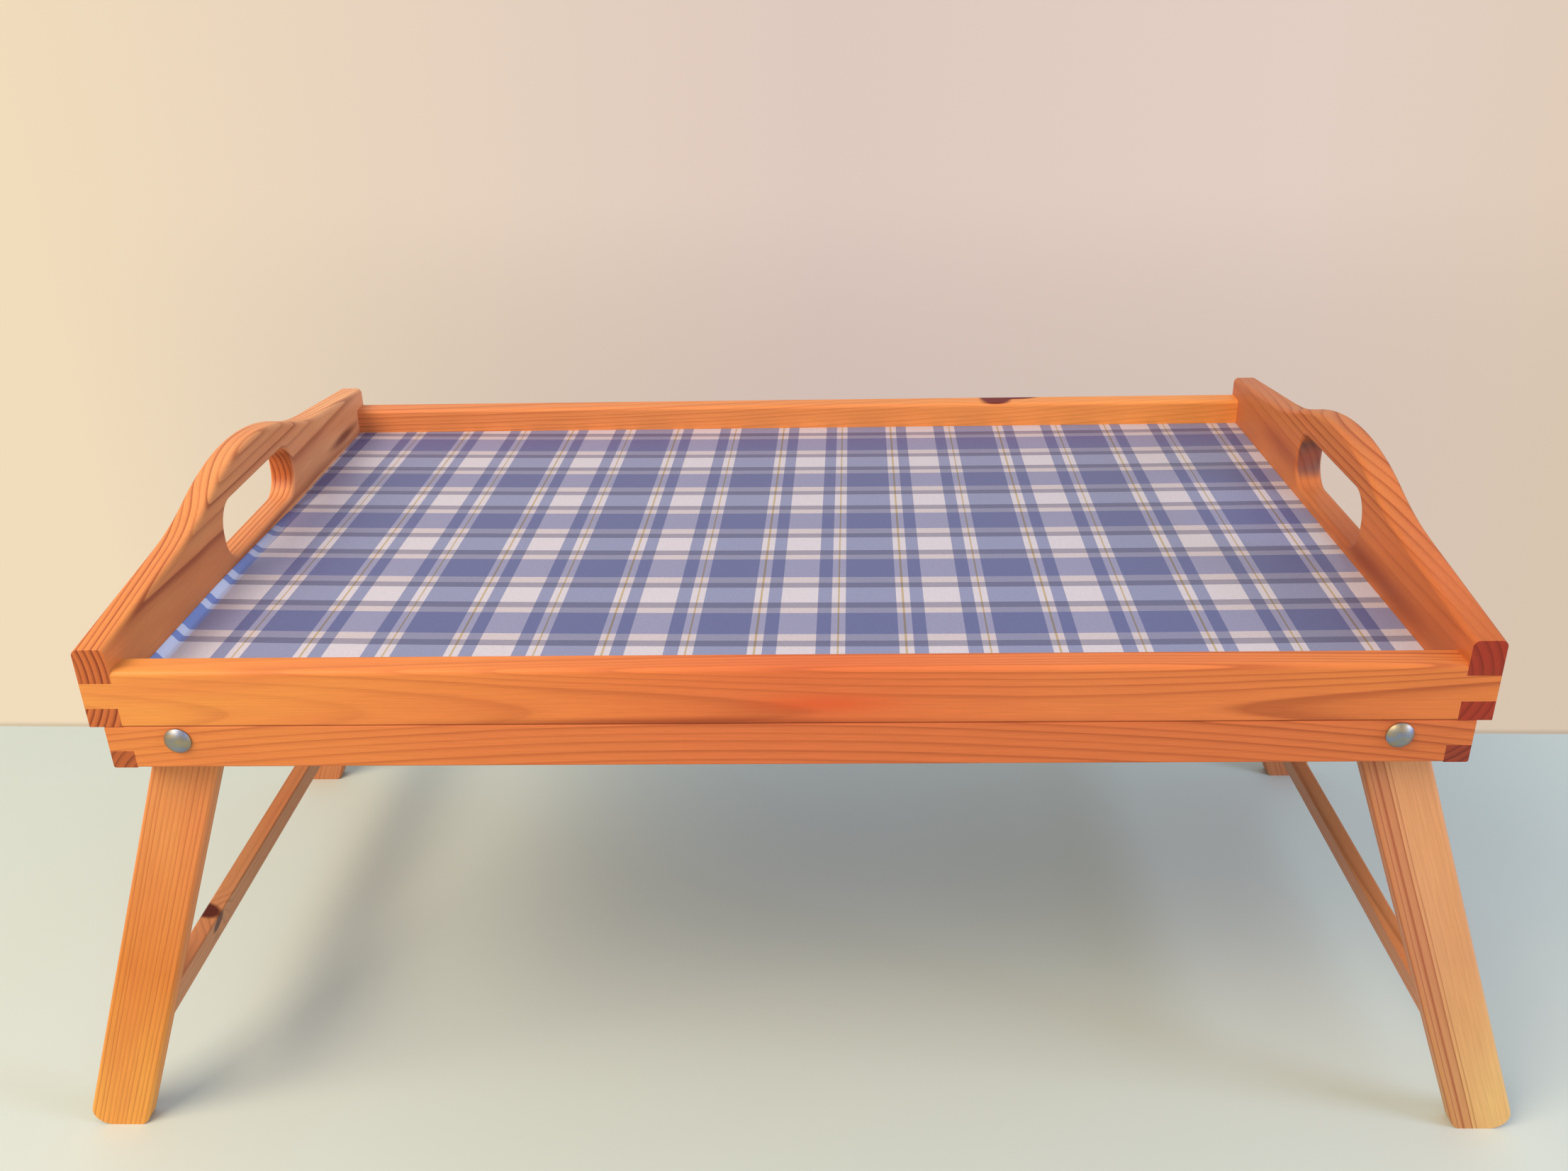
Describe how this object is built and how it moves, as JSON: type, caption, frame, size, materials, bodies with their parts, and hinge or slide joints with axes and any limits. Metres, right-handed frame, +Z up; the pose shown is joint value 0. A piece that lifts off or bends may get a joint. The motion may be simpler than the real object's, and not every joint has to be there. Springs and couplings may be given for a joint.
{
  "type": "folding tray table",
  "caption": "Pine bed tray with ogee handle ends, printed check panel and two splayed leg pairs that fold flat under it on bolts.",
  "frame": {"origin": "on the floor under the middle of the tray", "axes": "+X to the right-hand handle, along the tray's length; +Y to the back rail; +Z up"},
  "size_m": [0.6038, 0.3136, 0.2639],
  "materials": {
    "pine_rail": "satin lacquered pine",
    "pine_end": "satin lacquered pine",
    "pine_leg": "satin lacquered pine",
    "hardboard": "smooth brown hardboard",
    "printed_sheet": "printed check, semi-gloss",
    "beech_dowel": "bare beech",
    "zinc_steel": "bright zinc plated",
    "nylon": "natural nylon"
  },
  "bodies": {
    "tray": {"tray_front_rail": "pine_rail", "tray_back_rail": "pine_rail", "left_handle_end": "pine_end", "right_handle_end": "pine_end", "tray_panel": "hardboard", "panel_laminate": "printed_sheet", "lower_front_rail": "pine_rail", "lower_back_rail": "pine_rail", "lower_left_cross_rail": "pine_rail", "lower_right_cross_rail": "pine_rail", "bolt_front_left": "zinc_steel", "bolt_back_left": "zinc_steel", "bolt_front_right": "zinc_steel", "bolt_back_right": "zinc_steel", "pivot_spacers": "nylon", "nut_washers": "zinc_steel", "lock_nuts": "zinc_steel"},
    "left_legs": {"leg_front_left": "pine_leg", "leg_back_left": "pine_leg", "left_stretcher": "pine_leg", "left_stretcher_dowels": "beech_dowel"},
    "right_legs": {"leg_front_right": "pine_leg", "leg_back_right": "pine_leg", "right_stretcher": "pine_leg", "right_stretcher_dowels": "beech_dowel"}
  },
  "joints": [
    {"name": "left_legs_fold", "type": "hinge", "parent": "tray", "child": "left_legs", "pos_m": [-0.2188, 0, 0.20203], "axis": [0, -1, 0], "range_deg": [0, 110]},
    {"name": "right_legs_fold", "type": "hinge", "parent": "tray", "child": "right_legs", "pos_m": [0.2188, 0, 0.20203], "axis": [0, 1, 0], "range_deg": [0, 110]}
  ]
}
